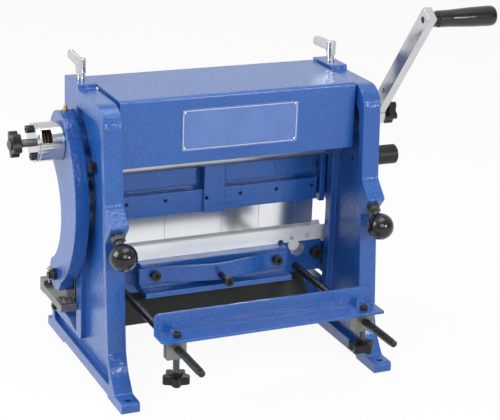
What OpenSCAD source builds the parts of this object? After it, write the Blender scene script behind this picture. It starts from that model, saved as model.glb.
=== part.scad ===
// Combination sheet metal machine: hand-cranked bench shear, press brake and slip roll.
// Millimetres. +X is right, +Y is back, +Z is up; the origin is on the bench, at the centre of the foot bolts.

/* [Side frames] */
// Clear width between the two side frames
frame_gap = 330; // [320:1:345]
// Width of the frame's flange
flange_w = 24; // [22:0.5:26]
// Thickness of the frame's web
web_t = 8; // [7:0.5:9]
// Thickness of the flange, seen from the side
flange_t = 9; // [8:0.5:11]
// Height of the frame's flat top
frame_h = 370.5; // [368:0.5:374]
// Height of the wing screw bosses over the top
boss_rise = 6.5; // [5:0.5:9]
// Front foot to back foot
base_d = 304; // [294:1:320]
// Height of the feet
foot_h = 13.5; // [11:0.5:16]
// Diameter of the foot bolt holes
foot_hole_d = 9; // [7:0.5:11]
// Foot bolts, front to back
foot_bolt_y = 282; // [272:1:286]
// How far the nose stands out at the front
nose_y = 107; // [103:0.5:112]

/* [Drive and rolls] */
// Drive shaft axis, back from the middle
axis_y = 35; // [34:0.25:36]
// Drive shaft axis, above the bench
axis_z = 302; // [300:0.5:303]
// Diameter of the drive shaft
shaft_d = 21; // [19:0.5:22]
// Wall of the shaft bushes
bush_t = 4; // [3:0.25:5]
// Diameter of the drive roll and the upper roll
roll_d = 36; // [33:0.25:36]
// Length of the rolls
roll_l = 294; // [284:1:296]
// Diameter of the upper roll's journals
journal_d = 18; // [15:0.5:20]
// Diameter of the bending roll
bend_roll_d = 34; // [30:0.5:35]
// Diameter of the bending roll's journals
bend_journal_d = 16; // [12:0.5:18]
// Teeth on each roll gear
gear_teeth = 18; // [18:1:18]
// Width of the roll gears
gear_w = 8; // [6:0.5:9]

/* [Crank] */
// Crank length, axis to grip pin
crank_l = 195; // [180:1:210]
// Lean of the crank towards the front, from upright
crank_tilt = 37.5; // [30:0.5:45]
// Width of the crank bar
crank_w = 21; // [18:0.5:24]
// Thickness of the crank bar
crank_t = 12; // [10:0.5:13]
// Length of the grip
grip_l = 86; // [75:1:95]
// Largest diameter of the grip
grip_d = 27; // [25:0.5:30]
// Diameter of the grip pin
grip_pin_d = 9; // [7:0.5:10]

/* [Press linkage] */
// Eccentricity, half the beam's stroke
throw = 6; // [5:0.25:6]
// Diameter of the eccentric
ecc_d = 39; // [38:0.5:40]
// Diameter of the chrome bosses
boss_d = 50; // [47:0.5:52]
// Length of the chrome bosses
boss_l = 31; // [28:0.5:32]
// Thickness of the arms
arm_t = 18; // [15:0.5:19]
// Diameter of the arm pins
arm_pin_d = 12; // [10:0.5:14]
// Diameter of the star knobs
star_d = 35; // [32:0.5:37]
// Diameter of the clutch rod and the knob studs
rod_d = 10; // [8:0.5:11]
// Wire of the clutch spring
spring_wire = 3; // [2.4:0.1:3.2]

/* [Brake and shear] */
// Top of the die above the bench
die_top = 149.5; // [148.5:0.25:150.5]
// Height of the die bar
die_h = 20.5; // [19:0.5:22]
// Width of the die's V
die_v = 18; // [16:0.5:19]
// Thickness of the fingers
finger_t = 10; // [9:0.25:11]
// Length of the die bar
die_l = 343; // [322:1:344]
// Length of the blades
blade_l = 305; // [295:1:308]
// Thickness of the blades
blade_t = 8; // [7:0.25:9]

/* [Stop] */
// Diameter of the stop rods
stop_rod_d = 10; // [8:0.5:11]
// Distance between the stop rods
stop_rod_gap = 256.6; // [250:0.5:262]
// Reach of the stop rods in front of the middle
stop_reach = 260; // [250:1:275]
// Length of the stop angle
stop_l = 302; // [292:1:310]
// Where the stop angle stands, in front of the middle
stop_y = 162; // [155:0.5:175]

/* [Cover] */
// Gap between the cover's ends and the frames
cover_gap = 3.3; // [2.5:0.1:9]
// Thickness of the cover's sheet
cover_t = 2.5; // [1.5:0.1:3]
// Length of the nameplate
plate_l = 160; // [140:1:170]
// Height of the nameplate
plate_h = 54; // [48:0.5:58]

/* [Hidden] */
$fn = 48;
// working gaps
run = 0.05;
slip = 0.3;
eps = 0.02;
// widths: inner face, outer face and web of the right frame
xi = frame_gap / 2;
xo = xi + flange_w;
wi = xi + (flange_w - web_t) / 2;
wo = wi + web_t;
foot_x = xi + flange_w / 2;
// frame outline
y_foot = base_d / 2;
foot_land = 26;
face_y = y_foot - 52;
waist_y = nose_y - 20;
waist_z = 203;
nose_z = 226.7;
jog_y = 85.5;
jog_z = 249;
brow_y = 78;
brow_r = 28;
rear_y = 73;
tail_y = y_foot - 20;
jaw_z = 76;
rail_lift = 3.5;
rail_top = 18.5;
top_boss_y = 18.6;
boss_top = frame_h + boss_rise;
throat_y = 112;
throat_z = 200;
throat_r = 66;
throat_z0 = 186;
top_t = 22;
// opening for the beam's ends, which runs up into the throat, and the guide rib before it
win_y0 = 27;
win_y1 = 105;
win_z0 = 46;
rib_y0 = -2;
rib_y1 = 13;
rib_z0 = 40;
pad_y = 7;
pad_z0 = 34;
pad_z1 = 178;
// rolls and gears: the pitch circles just clear at rest
gear_m = 2;
gear_pitch_r = gear_m * gear_teeth / 2;
gear_centre = gear_pitch_r * 2 + 0.6;
gear_add = 1.5;
gear_ded = 2.6;
gear_x = roll_l / 2 + 3;
upper_angle = 75.8;
upper_y = axis_y + gear_centre * cos(upper_angle);
upper_z = axis_z + gear_centre * sin(upper_angle);
bend_y = 4;
bend_z = 276;
shaft_r = shaft_d / 2;
bush_r = shaft_r + bush_t;
roll_r = roll_d / 2;
journal_r = journal_d / 2;
bend_r = bend_roll_d / 2;
bend_journal_r = bend_journal_d / 2;
hub_r = 27;
// bearing blocks in their pockets
block_w = 28;
block_z0 = upper_z - 14.2;
block_z1 = upper_z + 14.5;
pocket_z0 = block_z0 - slip;
pocket_z1 = boss_top - 11;
lift = 3;
// wing screws
wing_r = rod_d / 2;
fork_z0 = boss_top + 9;
fork_z1 = fork_z0 + 18;
fork_r = 6.5;
leaf_l = 25;
leaf_t = 3;
leaf_h = 10;
// press linkage
ecc_r = ecc_d / 2;
eye_r = ecc_r + throw / 2 + 0.4;
eye_y = axis_y + throw / 2;
arm_x0 = xo + 1;
arm_x1 = arm_x0 + arm_t;
boss_x0 = arm_x1 + 0.6;
boss_x1 = boss_x0 + boss_l;
boss_r = boss_d / 2;
arm_hub_r = 37;
arm_hub_y = axis_y + 5;
arm_foot_r = 23;
nipple_z = axis_z + arm_hub_r - 0.6;
pin_y = 55.3;
pin_z = 112.3;
pin_r = arm_pin_d / 2;
pin_x1 = arm_x1 + 11;
pin_nut_af = 15;
pin_nut_t = 7;
front_arc = [112.28, 225.81, 142];
back_arc = [112, 200, 81.5];
// clutch in the left boss
cap_t = 4;
cap_screw_m = 6;
cap_screw_r = 18;
cap_turn = 57;
boss_edge = 0.8;
split_d = 1.2;
split_w = 0.8;
cavity_r = boss_r - 9;
cavity_x0 = boss_x0 + 3;
dog_r = cavity_r - 1;
dog_t = 4;
dog_x0 = cavity_x0 + 7;
clutch_travel = 6;
star_r = star_d / 2;
star_t = 10.5;
star_x0 = boss_x1 + cap_t + 18;
spring_r = cavity_r - spring_wire / 2 - 1;
spring_x0 = dog_x0 + dog_t + spring_wire / 2 + 0.4;
spring_x1 = boss_x1 - spring_wire / 2 - 0.4;
spring_curls = 3;
spring_rings = 8;
spring_sides = 6;
// crank
crank_x0 = boss_x1 + 1;
crank_x1 = crank_x0 + crank_t;
crank_hub_r = 17;
crank_seat_r = shaft_r - 2;
grip_y = axis_y - crank_l * sin(crank_tilt);
grip_z = axis_z + crank_l * cos(crank_tilt);
grip_pin_r = grip_pin_d / 2;
collar_t = 7.5;
collar_r = 10;
grip_x0 = crank_x1 + collar_t + slip;
grip_r = grip_d / 2;
knob_x0 = star_x0;
// upper beam
ub_z0 = 190;
ub_z1 = 253.4;
strip_y = 22;
strip_t = 8.2;
groove_h = 4.8;
groove_y = 36;
panel_y = 30;
finger_y0 = strip_y + strip_t + slip;
finger_y1 = finger_y0 + finger_t;
finger_top = 216.7;
strip_top = finger_top + 3.9;
groove_top = strip_top + groove_h;
panel_gap = 6;
panel_rail = 5;
body_y1 = 60;
strip_x = xi - 10.8;
panel_x = xi - 14.3;
post_x0 = xi - 5.6;
post_x1 = xi + 2;
post_z0 = ub_z0 - 4;
lug_y0 = 29;
lug_y1 = 42;
lug_z0 = 195;
lug_z1 = 246;
rib_w = 29.5;
rib_face_y = 17;
screw_z = 209.6;
screw_x = [-122, -68, -11, 40, 93.5, 147];
screw_r = 2.6;
beam_bolt_z = [206, 236];
beam_bolt_y = 35.5;
// fingers, from the left
finger_x = [-152, -65, 17, 72, 126, 154];
finger_gap = 0.15;
tip_y = (finger_y0 + finger_y1) / 2;
tip_half_angle = 38;
finger_tip = die_top - 2.5;
// lower beam
lb_y0 = 25;
lb_y1 = 52;
lb_z0 = 84;
lb_x = xi + 1.6;
die_z0 = die_top - die_h;
die_y1 = 46;
tenon_z0 = 90;
tenon_z1 = 124;
tenon_x1 = wo - 1;
belly_x = 106;
belly_y = 8;
belly_z0 = 89;
shelf_y = -12;
shelf_t = 7;
crown_x0 = -110;
crown_x1 = 105;
crown_t = 5;
crown_bow = 15;
crown_flat = 33;
crown_z0 = 103;
crown_z1 = 125;
crown_screw_x = 88.5;
crown_screw_z = 115.5;
mid_screw_z = 110;
cutter_x = 131;
cutter_z = 118.3;
cutter_r = 11;
tongue_x = cutter_x - 6.3;
tongue_z = die_z0 - 4.7;
tongue_r = 8;
end_screw_x = lb_x - 9;
end_screw_m = 10;
crown_screw_m = 8;
end_screw_z = 110.8;
// links
link_x1 = arm_x1 + 4;
link_y0 = 20;
link_y1 = 112;
link_z0 = 71.5;
link_z1 = 81.5;
link_lug_t = 16;
link_lug_z = 88;
tongue_t = 8.3;
tongue_y0 = 36;
tongue_y1 = 68;
tongue_z1 = 125;
link_bolt_y = 42.5;
link_bolt_z = [97, 117];
// shear
blade_y0 = lb_y1;
blade_y1 = lb_y1 + blade_t;
low_blade_y0 = blade_y1 + slip;
low_blade_y1 = low_blade_y0 + blade_t;
blade_h = 22;
low_blade_z0 = 62;
low_blade_z1 = 82;
bed_y1 = 121;
bed_z0 = 34;
bed_x = xi - 4;
bed_y0 = 22;
bed_end_z = 72;
bed_foot_z = bed_z0 + 18;
bed_bolt_y = 113;
bed_bolt_z = 42;
chute_x = 142;
chute_t = 2;
chute_z = low_blade_z1 - 8;
chute_bend_y = 24;
chute_lip = 24;
chute_skew = chute_t * 0.41;
chute_edge = chute_t * 0.7;
// cover
cover_y0 = -59.9;
cover_y1 = 70.3;
cover_z1 = frame_h + 3;
cover_x = xi - cover_gap;
cover_front_z = 286.7;
cover_bolt_y = -27;
cover_bolt_z = 282;
cheek_y1 = -15;
cheek_y2 = 21;
cheek_z = 318;
cheek_tab_r = 9;
plate_z = 329.5;
plate_t = 0.8;
rivet_in = 4;
tie_r = 6;
tie_y = 64.5;
tie_z = cover_z1 - cover_t - tie_r;
// stop
rod_x = stop_rod_gap / 2;
rod_z = 92.7;
rod_r = stop_rod_d / 2;
rod_seat = 15;
rod_tip = 9;
angle_t = 3.5;
angle_z = 106.8;
angle_top = 132;
angle_leg = 28;
stop_block_w = 13;
stop_block_y = stop_y + 15.5;
stop_block_x0 = -14.5;
stop_block_x1 = 10.5;
stop_block_z0 = 80;
stop_block_z1 = angle_z - angle_t;
stop_knob_z1 = [57, 62];
stop_stud_r = 4;
// ball knobs
ball_d = 35;
ball_reach = 31;
ball_angle = atan2(nose_y - waist_y, nose_z - waist_z);
ball_y = (nose_y + waist_y) / 2;
ball_z = (nose_z + waist_z) / 2;
nut_t = 8;
nut_af = 16;
// stub on the right frame
stub_y = -40;
stub_z = 265;
stub_r = 13;
stub_l = 56;
// screw heads: diameter and height by thread size
function head_d(m) = 1.5 * m + 1;
function head_h(m) = m;

assert(finger_tip - die_v / 2 < die_top - throw, "die too shallow for the stroke");
assert(upper_z + roll_r + lift < cover_z1 - cover_t, "upper roll meets the cover");

// shared shapes

function unit(v) = v / norm(v);

// one rounded corner of an outline whose points are [a, b, radius]
function corner(p, q, r) =
    q[2] == 0 ? [[q[0], q[1]]] :
    let (o = [q[0], q[1]],
         a = unit([p[0], p[1]] - o),
         b = unit([r[0], r[1]] - o),
         half = acos(a * b) / 2,
         c = o + unit(a + b) * q[2] / sin(half),
         s = o + a * q[2] / tan(half) - c,
         e = o + b * q[2] / tan(half) - c,
         s_turn = atan2(s[1], s[0]),
         sweep = (atan2(e[1], e[0]) - s_turn + 900) % 360 - 180,
         n = max(2, ceil(abs(sweep) / 15)))
    [for (i = [0:n]) c + q[2] * [cos(s_turn + sweep * i / n), sin(s_turn + sweep * i / n)]];

function rounded(pts) =
    let (n = len(pts))
    [for (i = [0:n - 1]) each corner(pts[(i + n - 1) % n], pts[i], pts[(i + 1) % n])];

// an outline drawn as [y, z], carried from x0 to x1
module along_x(x0, x1) {
    translate([x0, 0, 0])
        rotate([90, 0, 90])
            linear_extrude(height = x1 - x0)
                children();
}

module x_rod(r, x0, x1, y, z) {
    translate([x0, y, z])
        rotate([0, 90, 0])
            cylinder(r = r, h = x1 - x0);
}

module y_rod(r, y0, y1, x, z) {
    translate([x, y0, z])
        rotate([-90, 0, 0])
            cylinder(r = r, h = y1 - y0);
}

module z_rod(r, z0, z1, x, y) {
    translate([x, y, z0])
        cylinder(r = r, h = z1 - z0);
}

module slab(x0, x1, y0, y1, z0, z1) {
    translate([x0, y0, z0])
        cube([x1 - x0, y1 - y0, z1 - z0]);
}

module sides() {
    children();
    mirror([1, 0, 0])
        children();
}

// socket screw with the underside of its head at the origin, its head up +Z
module socket_screw(m, l) {
    difference() {
        union() {
            cylinder(d = head_d(m), h = head_h(m));
            translate([0, 0, -l])
                cylinder(d = m, h = l + eps);
        }
        translate([0, 0, head_h(m) * 0.45])
            cylinder(d = m * 0.9, h = head_h(m), $fn = 6);
    }
}

// star knob of five soft lobes, standing on the origin, up +Z
module star_body(bore_r) {
    lobes = 5;
    steps = 80;
    depth = 2.8;
    difference() {
        union() {
            linear_extrude(height = star_t)
                polygon([for (i = [0:steps - 1])
                    let (a = 360 * i / steps, r = star_r - depth + depth * cos(lobes * a))
                    [r * cos(a), r * sin(a)]]);
            cylinder(d1 = star_d * 0.6, d2 = star_d * 0.44, h = star_t + 1.6);
            translate([0, 0, -3])
                cylinder(d = star_d * 0.42, h = 4);
        }
        if (bore_r > 0)
            translate([0, 0, -3 - eps])
                cylinder(r = bore_r, h = star_t - 1);
    }
}

// low straight-sided gear on the origin, up +Z, a tooth at angle 0 when turned is 0
module gear_body(turn, h) {
    pitch = 360 / gear_teeth;
    top = pitch * 0.11;
    mid = pitch * 0.19;
    foot = pitch * 0.27;
    ra = gear_pitch_r + gear_add;
    rf = gear_pitch_r - gear_ded;
    linear_extrude(height = h)
        polygon([for (i = [0:gear_teeth - 1])
            let (a = turn + i * pitch)
            for (p = [[rf, -foot], [gear_pitch_r, -mid], [ra, -top], [ra, top], [gear_pitch_r, mid],
                [rf, foot]])
            p[0] * [cos(a + p[1]), sin(a + p[1])]]);
}

// side frames

function frame_outline() = rounded([
    [-y_foot, 0, 2], [-y_foot, foot_h, 4], [-y_foot + foot_land, foot_h, 5], [-face_y - 8, 37, 40],
    [-face_y, 60, 3], [-waist_y, waist_z, 4], [-nose_y, nose_z, 3], [-jog_y, jog_z, 10],
    [-brow_y, frame_h, brow_r], [top_boss_y, frame_h, 1.5], [top_boss_y, boss_top, 2], [rear_y, boss_top, 3],
    [rear_y, jaw_z, 0], [tail_y, jaw_z, 10], [tail_y, foot_h, 3], [y_foot, foot_h, 4], [y_foot, 0, 2],
    [83, 0, 1], [80, rail_lift, 1], [-97, rail_lift, 1], [-100, 0, 1]]);

function recess_outline() = rounded([
    [-face_y - 16 + flange_t, rail_top, 6], [-face_y + flange_t, 61, 30], [-waist_y + flange_t, waist_z, 8],
    [-jog_y + flange_t, jog_z, 10],
    [-brow_y + flange_t + 2, frame_h - top_t, 24],
    [rear_y - flange_t, frame_h - top_t, 6], [rear_y - flange_t, jaw_z - flange_t, 0],
    [tail_y - flange_t, jaw_z - flange_t, 6], [tail_y - flange_t, rail_top, 6]]);

module recess(x0, x1) {
    difference() {
        along_x(x0, x1)
            polygon(recess_outline());
        x_rod(throat_r + flange_t, x0 - eps, x1 + eps, throat_y, throat_z);
    }
}

module ball_place() {
    translate([foot_x, -ball_y, ball_z])
        rotate([90 + ball_angle, 0, 0])
            children();
}

// the right frame; the left one is its mirror image
module frame_body() {
    difference() {
        union() {
            difference() {
                along_x(xi, xo)
                    polygon(frame_outline());
                recess(xi - eps, wi);
                recess(wo, xo + eps);
            }
            // rim of the opening, flush with the outer face
            along_x(wi, xo)
                polygon(rounded([[pad_y, pad_z0, 8], [pad_y, pad_z1, 12], [win_y0 + 20, throat_z0 + 12, 0],
                    [win_y0 + 20, jaw_z, 0], [tail_y, jaw_z, 10], [tail_y, pad_z0, 0]]));
            // guide rib, flush with the inner face
            slab(xi, wi + eps, rib_y0, rib_y1, rib_z0, frame_h - top_t);
            // bearing bosses
            x_rod(hub_r, xi, xo, axis_y, axis_z);
            x_rod(bend_journal_r + 7, xi, xo, bend_y, bend_z);
            slab(xi, xo, upper_y - block_w / 2 - 7, rear_y - 2, pocket_z0 - 5, frame_h - 2);
        }
        // open throat at the back, on the arms' arc
        x_rod(throat_r, xi - 1, xo + 1, throat_y, throat_z, $fn = 72);
        // opening of the beam, free at the back above the lower jaw
        along_x(xi - 1, xo + 1)
            polygon(rounded([[win_y0, win_z0 - 8, 3], [win_y0, throat_z0, 6], [y_foot, throat_z0, 0],
                [y_foot, jaw_z, 0], [win_y1, jaw_z, 5], [win_y1, win_z0, 8], [win_y0 + 30, win_z0, 20]]));
        // seat of the upper beam's lug
        slab(xi - 1, wi, strip_y - 1, throat_y, throat_z0 - 4, jog_z + 6);
        // pocket of the bearing block, open to the inside
        slab(xi - 1, wo, upper_y - block_w / 2 - slip, upper_y + block_w / 2 + slip, pocket_z0, pocket_z1);
        z_rod(wing_r + run, block_z1 - 1, boss_top + 1, foot_x, upper_y);
        x_rod(bush_r, xi - 1, xo + 1, axis_y, axis_z);
        x_rod(bend_journal_r + run, xi - 1, xo - 6, bend_y, bend_z);
        x_rod(tie_r + run, xi - 1, wi, tie_y, tie_z);
        for (y = [-1, 1])
            z_rod(foot_hole_d / 2, -1, foot_h + 6, foot_x, y * foot_bolt_y / 2);
        ball_place()
            translate([0, 0, -22])
                cylinder(d = rod_d + run * 2, h = 40);
        for (z = beam_bolt_z) {
            x_rod(4 + run, xi - 1, xo + 1, beam_bolt_y, z);
            x_rod(head_d(8) / 2 + 0.5, wo, xo + 1, beam_bolt_y, z);
        }
        x_rod(3 + run, xi - 1, xo + 1, bed_bolt_y, bed_bolt_z);
        x_rod(4 + run, xi - 1, xo + 1, cover_bolt_y, cover_bolt_z);
    }
}

module right_frame() {
    color([0.04, 0.13, 0.55])
        difference() {
            frame_body();
            x_rod(4 + run, wi - 1, wo + 1, stub_y, stub_z);
        }
}

module left_frame() {
    color([0.04, 0.13, 0.55])
        mirror([1, 0, 0])
            frame_body();
}

// cover

module top_cover() {
    color([0.04, 0.13, 0.55])
        difference() {
            union() {
                along_x(-cover_x, cover_x)
                    polygon(rounded([[cover_y0, cover_front_z, 0], [cover_y0, cover_z1, 4],
                        [cover_y1, cover_z1, 0], [cover_y1, cover_z1 - cover_t, 0],
                        [cover_y0 + cover_t, cover_z1 - cover_t, 1.5],
                        [cover_y0 + cover_t, cover_front_z, 0]]));
                sides() {
                    slab(cover_x - cover_t, cover_x, cover_y0 + 1, cheek_y1, cover_front_z, cover_z1 - 1);
                    slab(cover_x - cover_t, cover_x, cheek_y1 - 1, cheek_y2, cheek_z, cover_z1 - 1);
                    x_rod(cheek_tab_r, cover_x - cover_t, cover_x, cover_bolt_y, cover_bolt_z);
                }
            }
            x_rod(4 + run, -cover_x - 1, cover_x + 1, cover_bolt_y, cover_bolt_z);
            for (x = [-1, 1], z = [-1, 1])
                y_rod(1.2, cover_y0 - 1, cover_y0 + cover_t + 1, x * (plate_l / 2 - rivet_in),
                    plate_z + z * (plate_h / 2 - rivet_in));
        }
}

module cover_spacers() {
    color([0.1, 0.1, 0.1])
        sides()
            difference() {
                x_rod(7, cover_x, wi, cover_bolt_y, cover_bolt_z);
                x_rod(4 + run, cover_x - 1, wi + 1, cover_bolt_y, cover_bolt_z);
            }
}

module nameplate() {
    color([0.15, 0.28, 0.7])
        difference() {
            translate([-plate_l / 2, cover_y0, plate_z - plate_h / 2])
                rotate([90, 0, 0])
                    linear_extrude(height = plate_t)
                        polygon(rounded([[0, 0, 3], [plate_l, 0, 3], [plate_l, plate_h, 3], [0, plate_h, 3]]));
            for (x = [-1, 1], z = [-1, 1])
                y_rod(1.2, cover_y0 - 2, cover_y0 + 1, x * (plate_l / 2 - rivet_in),
                    plate_z + z * (plate_h / 2 - rivet_in));
        }
}

module nameplate_rivets() {
    color([0.8, 0.8, 0.82])
        for (x = [-1, 1], z = [-1, 1])
            translate([x * (plate_l / 2 - rivet_in), cover_y0 - plate_t,
                plate_z + z * (plate_h / 2 - rivet_in)])
                rotate([90, 0, 0])
                    rotate_extrude($fn = 24)
                        polygon([[0, -4], [1.2 - run, -4], [1.2 - run, 0], [2.3, 0], [2.0, 0.8], [1.2, 1.3],
                            [0, 1.5]]);
}

module rear_tie_bar() {
    color([0.6, 0.6, 0.62])
        x_rod(tie_r, -wi + 1, wi - 1, tie_y, tie_z);
}

// every black socket bolt that is set in the frames
module frame_bolts() {
    color([0.05, 0.05, 0.05])
        sides() {
            for (z = beam_bolt_z)
                translate([wo, beam_bolt_y, z])
                    rotate([0, 90, 0])
                        socket_screw(8, wo - post_x0 - 4);
            translate([xo, bed_bolt_y, bed_bolt_z])
                rotate([0, 90, 0])
                    socket_screw(6, xo - bed_x + 8);
            translate([wo, cover_bolt_y, cover_bolt_z])
                rotate([0, 90, 0])
                    socket_screw(8, wo - cover_x + cover_t + 3);
        }
}

module side_stub() {
    color([0.05, 0.05, 0.05])
        union() {
            x_rod(stub_r, wo, wo + stub_l - 1, stub_y, stub_z);
            x_rod(stub_r - 1, wo + stub_l - 2, wo + stub_l, stub_y, stub_z);
            x_rod(4, wi + 1, wo + 1, stub_y, stub_z);
        }
}

// upper beam and fingers

module upper_beam() {
    color([0.04, 0.13, 0.55])
        difference() {
            union() {
                along_x(-post_x0 - eps, post_x0 + eps)
                    polygon([[strip_y, ub_z0], [finger_y0 - slip, ub_z0], [finger_y0 - slip, finger_top + slip],
                        [finger_y1 + slip, finger_top + slip], [finger_y1 + slip, ub_z0], [body_y1, ub_z0],
                        [body_y1, ub_z1], [panel_y, ub_z1], [panel_y, groove_top], [groove_y, groove_top],
                        [groove_y, strip_top], [strip_y, strip_top]]);
                slab(-rib_w / 2, rib_w / 2, rib_face_y, panel_y, ub_z0 - 1, ub_z1 + 1.5);
                slab(-rib_w / 2, rib_w / 2, strip_y, groove_y + 1, strip_top - 1, groove_top + 1);
                sides() {
                    slab(post_x0, post_x1, strip_y, body_y1, post_z0, ub_z1);
                    slab(post_x1 - eps, wi, lug_y0, lug_y1, lug_z0, lug_z1);
                }
            }
            sides() {
                slab(strip_x, post_x0, strip_y - 1, finger_y0 - slip, ub_z0 - 1, ub_z1 + 1);
                // the raised panel stops short of the post and the middle rib
                slab(panel_x, post_x0, panel_y - 1, groove_y, strip_top, ub_z1 + 1);
                slab(rib_w / 2, rib_w / 2 + panel_gap, panel_y - 1, groove_y, strip_top, ub_z1 - panel_rail);
            }
            slab(-rib_w / 2 - 1, rib_w / 2 + 1, finger_y0 - slip, finger_y1 + slip, ub_z0 - 2,
                finger_top + slip);
            for (i = [0:5])
                y_rod(screw_r + run, rib_face_y - 1, finger_y0, screw_x[i], screw_z);
            sides()
                for (z = beam_bolt_z)
                    x_rod(4 + run, post_x0, wi + 1, beam_bolt_y, z);
        }
}

module finger(i) {
    half = finger_t / 2;
    rise = half / tan(tip_half_angle);
    color([0.72, 0.72, 0.74])
        along_x(finger_x[i] + finger_gap, finger_x[i + 1] - finger_gap)
            polygon([[tip_y, finger_tip], [finger_y1, finger_tip + rise], [finger_y1, finger_top],
                [finger_y0, finger_top], [finger_y0, finger_tip + rise]]);
}

module finger_1() finger(0);
module finger_2() finger(1);
module finger_3() finger(2);
module finger_4() finger(3);
module finger_5() finger(4);

module finger_screws() {
    color([0.05, 0.05, 0.05])
        for (i = [0:5])
            translate([screw_x[i], finger_y0 - 0.02, screw_z])
                rotate([90, 0, 0])
                    difference() {
                        cylinder(r = screw_r, h = 6, $fn = 24);
                        translate([0, 0, 3])
                            cylinder(r = screw_r * 0.55, h = 4, $fn = 6);
                    }
}

// shear

module shear_bed() {
    color([0.04, 0.13, 0.55])
        difference() {
            union() {
                slab(-bed_x - eps, bed_x + eps, low_blade_y1, bed_y1, low_blade_z0 - 10, low_blade_z1);
                slab(-bed_x - eps, bed_x + eps, win_y1 + 1, bed_y1, bed_z0, low_blade_z0);
                sides() {
                    slab(bed_x, wi, bed_y0, bed_y1, bed_z0, bed_foot_z);
                    slab(bed_x, wi, bed_y0, win_y1 - 1, bed_z0, bed_end_z);
                    slab(chute_x + 1.5, bed_x + eps, bed_y0, low_blade_y0 - 1.3, bed_z0, bed_end_z);
                }
            }
            sides()
                x_rod(3 + run, bed_x - 9, wi + 1, bed_bolt_y, bed_bolt_z);
        }
}

module lower_blade() {
    color([0.72, 0.72, 0.74])
        slab(-blade_l / 2, blade_l / 2, low_blade_y0, low_blade_y1, low_blade_z0, low_blade_z1);
}

module upper_blade() {
    color([0.72, 0.72, 0.74])
        slab(-blade_l / 2, blade_l / 2, blade_y0, blade_y1, lb_z0, lb_z0 + blade_h);
}

module chute() {
    color([0.2, 0.21, 0.13])
        along_x(-chute_x, chute_x)
            polygon([[low_blade_y0, low_blade_z0], [low_blade_y0, chute_z], [chute_bend_y, chute_z],
                [chute_bend_y - chute_lip, chute_z - chute_lip],
                [chute_bend_y - chute_lip + chute_edge, chute_z - chute_lip - chute_edge],
                [chute_bend_y + chute_skew, chute_z - chute_t], [low_blade_y0 - chute_t, chute_z - chute_t],
                [low_blade_y0 - chute_t, low_blade_z0]]);
}

// drive shaft with its roll and gear, and the other rolls

module shaft_bushes() {
    color([0.7, 0.5, 0.25])
        sides()
            difference() {
                x_rod(bush_r, xi, xo, axis_y, axis_z);
                x_rod(shaft_r + run, xi - 1, xo + 1, axis_y, axis_z);
            }
}

module drive_shaft() {
    color([0.66, 0.66, 0.68])
        difference() {
            union() {
                x_rod(roll_r, -roll_l / 2, roll_l / 2, axis_y, axis_z);
                x_rod(shaft_r, -cavity_x0 + 1, crank_x0, axis_y, axis_z);
                x_rod(crank_seat_r, crank_x0 - eps, crank_x1, axis_y, axis_z);
                translate([-gear_x, axis_y, axis_z])
                    rotate([90, 0, -90])
                        gear_body(180 - upper_angle, gear_w);
            }
            x_rod(rod_d / 2 + run, crank_x0 - 6, crank_x1 + 1, axis_y, axis_z);
        }
}

module upper_roll() {
    color([0.66, 0.66, 0.68])
        union() {
            x_rod(roll_r, -roll_l / 2, roll_l / 2, upper_y, upper_z);
            x_rod(journal_r, -wo + 1, wo - 1, upper_y, upper_z);
            translate([-gear_x, upper_y, upper_z])
                rotate([90, 0, -90])
                    gear_body(-upper_angle + 180 / gear_teeth, gear_w);
        }
}

module bending_roll() {
    color([0.66, 0.66, 0.68])
        union() {
            x_rod(bend_r, -roll_l / 2, roll_l / 2, bend_y, bend_z);
            x_rod(bend_journal_r, -xo + 7, xo - 7, bend_y, bend_z);
            sides()
                x_rod(bend_journal_r + 4, roll_l / 2 - eps, xi - 1, bend_y, bend_z);
        }
}

module roll_blocks() {
    color([0.3, 0.3, 0.32])
        sides()
            difference() {
                slab(xi + 0.3, wo - 0.3, upper_y - block_w / 2, upper_y + block_w / 2, block_z0, block_z1);
                x_rod(journal_r + run, xi - 1, wo + 1, upper_y, upper_z);
            }
}

// wing screw: shank, forked head and one flat leaf, turned so its leaf points as in the picture
module wing_screw(side, turn) {
    color([0.78, 0.78, 0.8])
        translate([side * foot_x, upper_y, 0])
            rotate([0, 0, turn])
                union() {
                    difference() {
                        union() {
                            z_rod(wing_r, block_z1, fork_z0 + 1, 0, 0);
                            z_rod(fork_r, fork_z0, fork_z1, 0, 0);
                        }
                        slab(-fork_r - 1, fork_r + 1, -leaf_t / 2, leaf_t / 2, fork_z0 + 5, fork_z1 + 1);
                    }
                    translate([0, leaf_t / 2, fork_z0 + 11])
                        rotate([90, 0, 0])
                            linear_extrude(height = leaf_t)
                                polygon(rounded([[-4, -5.5, 2], [4, -5.5, 3], [leaf_l, 4, 3],
                                    [leaf_l, 4 + leaf_h, 4], [leaf_l - 7, 5 + leaf_h, 4], [-4, 5, 2]]));
                    translate([0, fork_r, fork_z0 + 11])
                        rotate([90, 0, 0])
                            cylinder(r = 2, h = fork_r * 2);
                }
}

module wing_screw_left() wing_screw(-1, 110);
module wing_screw_right() wing_screw(1, 165);

// ball knobs under the frames' noses

module ball_stud() {
    color([0.08, 0.08, 0.08])
        ball_place()
            union() {
                translate([0, 0, -20])
                    cylinder(d = rod_d, h = 20 + ball_reach - 4);
                translate([0, 0, slip])
                    cylinder(d = nut_af / cos(30), h = nut_t, $fn = 6);
            }
}

module ball_knob() {
    color([0.03, 0.03, 0.03])
        ball_place()
            difference() {
                translate([0, 0, ball_reach])
                    sphere(d = ball_d);
                translate([0, 0, ball_reach - ball_d])
                    cylinder(d = rod_d + run * 2, h = ball_d - 3.5);
            }
}

module ball_stud_right() ball_stud();
module ball_stud_left() mirror([1, 0, 0]) ball_stud();
module ball_knob_right() ball_knob();
module ball_knob_left() mirror([1, 0, 0]) ball_knob();

// eccentrics, clutch and arms

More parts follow.
